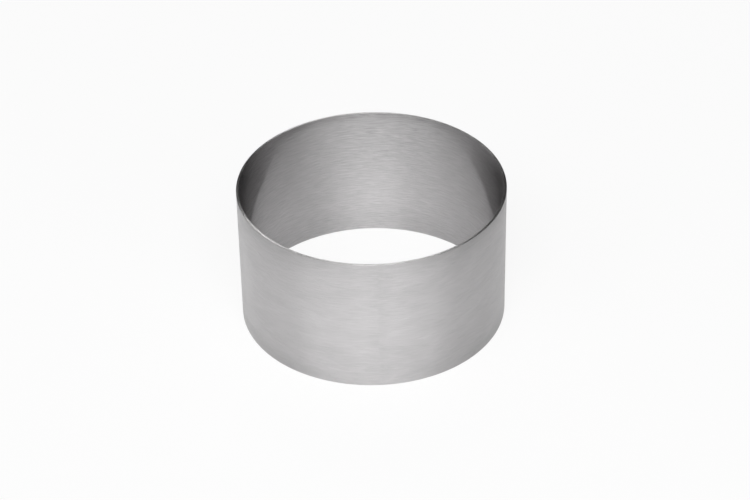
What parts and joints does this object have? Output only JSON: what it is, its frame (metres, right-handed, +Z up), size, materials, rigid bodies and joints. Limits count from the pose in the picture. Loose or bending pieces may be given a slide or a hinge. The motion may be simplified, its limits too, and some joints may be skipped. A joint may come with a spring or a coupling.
{
  "type": "pastry ring",
  "caption": "Open round pastry ring of brushed stainless strip, rolled and butt-welded, for moulding, cutting and plating cakes, mousse and other soft food.",
  "frame": {"origin": "centre of the lower opening, in the plane of the bottom rim that the ring stands on", "axes": "+Z up along the ring's axis; -Y towards the side that carries the weld line, which is 3 degrees from -Y towards +X"},
  "size_m": [0.0916, 0.0916, 0.05],
  "materials": {
    "brushed_stainless": "brushed along the strip, satin, on both faces",
    "weld_steel": "ground flush and brushed outside, low root bead with fine ripples inside"
  },
  "bodies": {
    "root": {"rolled_band": "brushed_stainless", "weld_seam": "weld_steel"}
  },
  "joints": []
}
